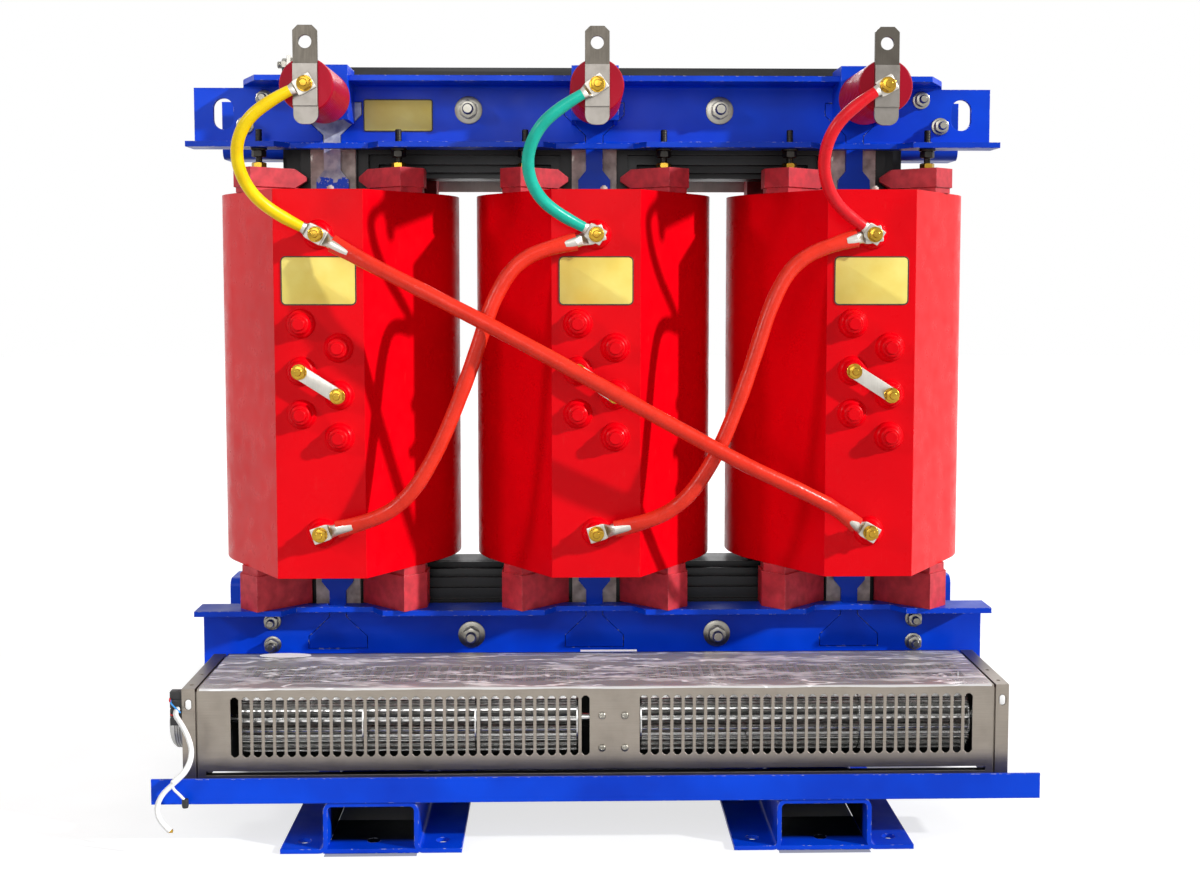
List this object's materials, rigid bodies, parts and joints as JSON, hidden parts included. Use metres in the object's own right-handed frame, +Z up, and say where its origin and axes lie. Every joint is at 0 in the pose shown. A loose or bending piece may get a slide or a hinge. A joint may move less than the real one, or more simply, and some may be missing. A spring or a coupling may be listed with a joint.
{
  "type": "dry-type power transformer",
  "caption": "Cast-resin dry-type power transformer: coils on a laminated core, bent steel clamps, skids, post insulators and cross-flow fans along its foot.",
  "frame": {"origin": "on the floor, at the centre of the floor bolt pattern", "axes": "+X to the right along the row of coils, +Y to the rear (low-voltage side), +Z up; the high-voltage side faces -Y"},
  "size_m": [1.196, 0.7855, 1.136],
  "materials": {
    "core_lacquer": "satin black lacquer",
    "blue_paint": "glossy blue enamel on bent steel plate",
    "coil_resin": "smooth red cast epoxy",
    "inner_coil_resin": "resin-bonded foil winding",
    "pad_resin": "dark red moulded resin",
    "board": "pale insulating board",
    "zinc_steel": "zinc-plated fasteners",
    "insulator_resin": "moulded red resin",
    "tinned_copper": "tinned bar",
    "brass": "bright brass",
    "lead_yellow": "yellow insulation",
    "lead_green": "green insulation",
    "lead_red": "red insulation",
    "tube_red": "orange-red shrink tube",
    "stainless": "stainless sheet",
    "motor_aluminium": "cast aluminium",
    "rotor_aluminium": "rolled aluminium",
    "black_plastic": "moulded terminal block",
    "white_cable": "white PVC sheath",
    "clear_blocks": "insulating support blocks"
  },
  "bodies": {
    "transformer": {"core": "core_lacquer", "top_clamp_front": "blue_paint", "top_clamp_rear": "blue_paint", "bottom_clamp_front": "blue_paint", "bottom_clamp_rear": "blue_paint", "tie_plates": "blue_paint", "tie_plate_boards": "board", "coil_pads": "pad_resin", "press_screws": "zinc_steel", "clamp_bolts": "zinc_steel", "insulator_brackets": "blue_paint", "brass_bolts": "brass", "tap_links": "tinned_copper", "delta_tubes": "tube_red", "foot_left": "blue_paint", "foot_right": "blue_paint", "support_legs": "blue_paint", "front_rails": "blue_paint", "rear_rails": "blue_paint", "fan_front_housing": "stainless", "fan_rear_housing": "stainless", "fan_end_boxes": "stainless", "fan_motors": "motor_aluminium", "fan_terminal_blocks": "black_plastic", "fan_cable": "white_cable", "lv_line_bars": "tinned_copper", "lv_star_bar": "tinned_copper", "lv_supports": "clear_blocks", "hv_coil_left": "coil_resin", "lv_coil_left": "inner_coil_resin", "insulator_left": "insulator_resin", "hv_terminal_left": "tinned_copper", "phase_lead_left": "lead_yellow", "hv_coil_centre": "coil_resin", "lv_coil_centre": "inner_coil_resin", "insulator_centre": "insulator_resin", "hv_terminal_centre": "tinned_copper", "phase_lead_centre": "lead_green", "hv_coil_right": "coil_resin", "lv_coil_right": "inner_coil_resin", "insulator_right": "insulator_resin", "hv_terminal_right": "tinned_copper", "phase_lead_right": "lead_red"},
    "front_fan_rotor": {"fan_front_rotor": "rotor_aluminium"},
    "rear_fan_rotor": {"fan_rear_rotor": "rotor_aluminium"}
  },
  "joints": [
    {"name": "front_fan_spin", "type": "hinge", "parent": "transformer", "child": "front_fan_rotor", "pos_m": [0, -0.289, 0.158], "axis": [1, 0, 0], "continuous": true},
    {"name": "rear_fan_spin", "type": "hinge", "parent": "transformer", "child": "rear_fan_rotor", "pos_m": [0, 0.289, 0.158], "axis": [1, 0, 0], "continuous": true}
  ]
}
